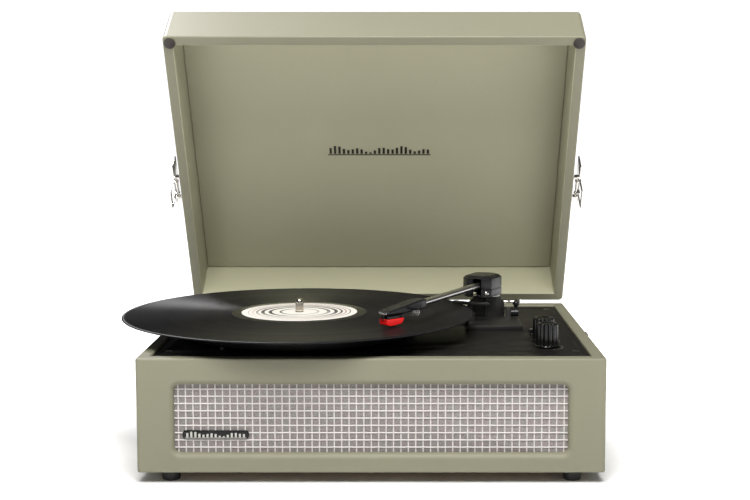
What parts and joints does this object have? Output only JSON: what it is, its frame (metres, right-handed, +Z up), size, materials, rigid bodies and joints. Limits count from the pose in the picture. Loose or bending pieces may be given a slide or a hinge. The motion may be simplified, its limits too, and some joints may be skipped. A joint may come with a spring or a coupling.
{
  "type": "suitcase record player",
  "caption": "Portable suitcase record player with a leatherette-covered case, hinged lid, front grille, belt-driven platter, record and pivoted tonearm.",
  "frame": {"origin": "centre of the case's footprint, on the surface that the feet stand on", "axes": "+X towards the player's right, +Y towards its back and hinges, +Z up along the spindle"},
  "size_m": [0.4062, 0.3552, 0.3762],
  "materials": {
    "cover": "matte leatherette over board",
    "board": "bare fibreboard",
    "black_plastic": "satin black",
    "gloss_black": "gloss black",
    "rubber": "matte black",
    "cloth": "woven grille cloth",
    "nickel": "polished nickel",
    "steel": "plain steel",
    "aluminium": "satin aluminium",
    "brass": "plain brass",
    "ferrite": "dark ferrite",
    "paper": "printed paper",
    "red_plastic": "gloss red",
    "board_green": "green circuit board"
  },
  "bodies": {
    "case": {"case_shell": "cover", "bottom_panel": "board", "feet": "rubber", "foot_screws": "steel", "corner_blocks": "board", "grille_cloth": "cloth", "baffle_board": "board", "grille_badge": "nickel", "speaker_baskets": "steel", "speaker_magnets": "ferrite", "speaker_cones": "paper", "deck_plate": "black_plastic", "deck_screws": "steel", "bearing_bush": "brass", "drive_belt": "rubber", "motor_body": "steel", "motor_grommets": "rubber", "motor_screws": "steel", "tonearm_base": "black_plastic", "tonearm_post": "black_plastic", "pots": "steel", "speed_switch": "steel", "amplifier_board": "board_green", "jack_plate": "black_plastic", "rca_jacks": "steel", "aux_jack": "black_plastic", "power_jack": "black_plastic", "hinge_case_leaves": "nickel", "hinge_pins": "nickel", "latch_catches": "nickel"},
    "turntable": {"platter": "black_plastic", "platter_mat": "rubber", "spindle": "steel", "record": "gloss_black", "record_label": "paper"},
    "motor_rotor": {"motor_pulley": "brass"},
    "arm_turret": {"arm_yoke": "steel", "pivot_cap": "gloss_black", "pivot_pin": "steel"},
    "arm": {"arm_block": "black_plastic", "arm_tube": "aluminium", "headshell": "black_plastic", "cartridge": "black_plastic", "stylus": "red_plastic"},
    "lift": {"lift_bar": "black_plastic"},
    "cue": {"cue_lever": "gloss_black"},
    "volume": {"volume_knob": "gloss_black"},
    "tone": {"tone_knob": "gloss_black"},
    "speed": {"speed_slider": "black_plastic"},
    "lid": {"lid_shell": "cover", "lid_bumpers": "rubber", "hinge_lid_leaves": "nickel", "latch_plates": "nickel"},
    "left_lever": {"left_latch_lever": "nickel"},
    "right_lever": {"right_latch_lever": "nickel"},
    "left_bail": {"left_latch_bail": "nickel"},
    "right_bail": {"right_latch_bail": "nickel"}
  },
  "joints": [
    {"name": "lid_hinge", "type": "hinge", "parent": "case", "child": "lid", "pos_m": [0, 0.1475, 0.0996], "axis": [1, 0, 0], "range_deg": [-31, 43]},
    {"name": "platter_spin", "type": "hinge", "parent": "case", "child": "turntable", "pos_m": [-0.065, -0.016, 0.105], "axis": [0, 0, 1], "continuous": true},
    {"name": "pulley_spin", "type": "hinge", "parent": "case", "child": "motor_rotor", "pos_m": [-0.12157, -0.07257, 0.1], "axis": [0, 0, 1], "continuous": true},
    {"name": "arm_swing", "type": "hinge", "parent": "case", "child": "arm_turret", "pos_m": [0.102, 0.057, 0.118], "axis": [0, 0, 1], "range_deg": [-20, 25]},
    {"name": "arm_tilt", "type": "hinge", "parent": "arm_turret", "child": "arm", "pos_m": [0.102, 0.057, 0.1309], "axis": [-0.8988, 0.4384, 0], "range_deg": [0, 4.6]},
    {"name": "cue_lever_turn", "type": "hinge", "parent": "case", "child": "cue", "pos_m": [0.127, 0.045, 0.105], "axis": [1, 0, 0], "range_deg": [0, 70]},
    {"name": "lift_slide", "type": "slide", "parent": "case", "child": "lift", "axis": [0, 0, 1], "range_m": [0, 0.0117]},
    {"name": "volume_turn", "type": "hinge", "parent": "case", "child": "volume", "pos_m": [0.142, -0.085, 0.107], "axis": [0, 0, 1], "range_deg": [-150, 150]},
    {"name": "tone_turn", "type": "hinge", "parent": "case", "child": "tone", "pos_m": [0.142, -0.057, 0.107], "axis": [0, 0, 1], "range_deg": [-150, 150]},
    {"name": "speed_slide", "type": "slide", "parent": "case", "child": "speed", "axis": [0, 1, 0], "range_m": [-0.006, 0.006]},
    {"name": "left_latch_turn", "type": "hinge", "parent": "lid", "child": "left_lever", "pos_m": [-0.1864, 0.088, 0.21726], "axis": [0, -0.515, 0.8572], "range_deg": [0, 100]},
    {"name": "right_latch_turn", "type": "hinge", "parent": "lid", "child": "right_lever", "pos_m": [0.1864, 0.088, 0.21726], "axis": [0, 0.515, -0.8572], "range_deg": [0, 100]},
    {"name": "left_bail_turn", "type": "hinge", "parent": "left_lever", "child": "left_bail", "pos_m": [-0.189, 0.08663, 0.21644], "axis": [0, 0.515, -0.8572], "range_deg": [0, 100]},
    {"name": "right_bail_turn", "type": "hinge", "parent": "right_lever", "child": "right_bail", "pos_m": [0.189, 0.08663, 0.21644], "axis": [0, -0.515, 0.8572], "range_deg": [0, 100]}
  ],
  "couplings": [
    {"joint": "pulley_spin", "follows": "platter_spin", "ratio": 12.8},
    {"joint": "arm_tilt", "follows": "cue_lever_turn", "ratio": 0.064286},
    {"joint": "lift_slide", "follows": "cue_lever_turn", "m_per_rad": 0.009249},
    {"joint": "left_bail_turn", "follows": "left_latch_turn", "ratio": 1},
    {"joint": "right_bail_turn", "follows": "right_latch_turn", "ratio": 1}
  ]
}
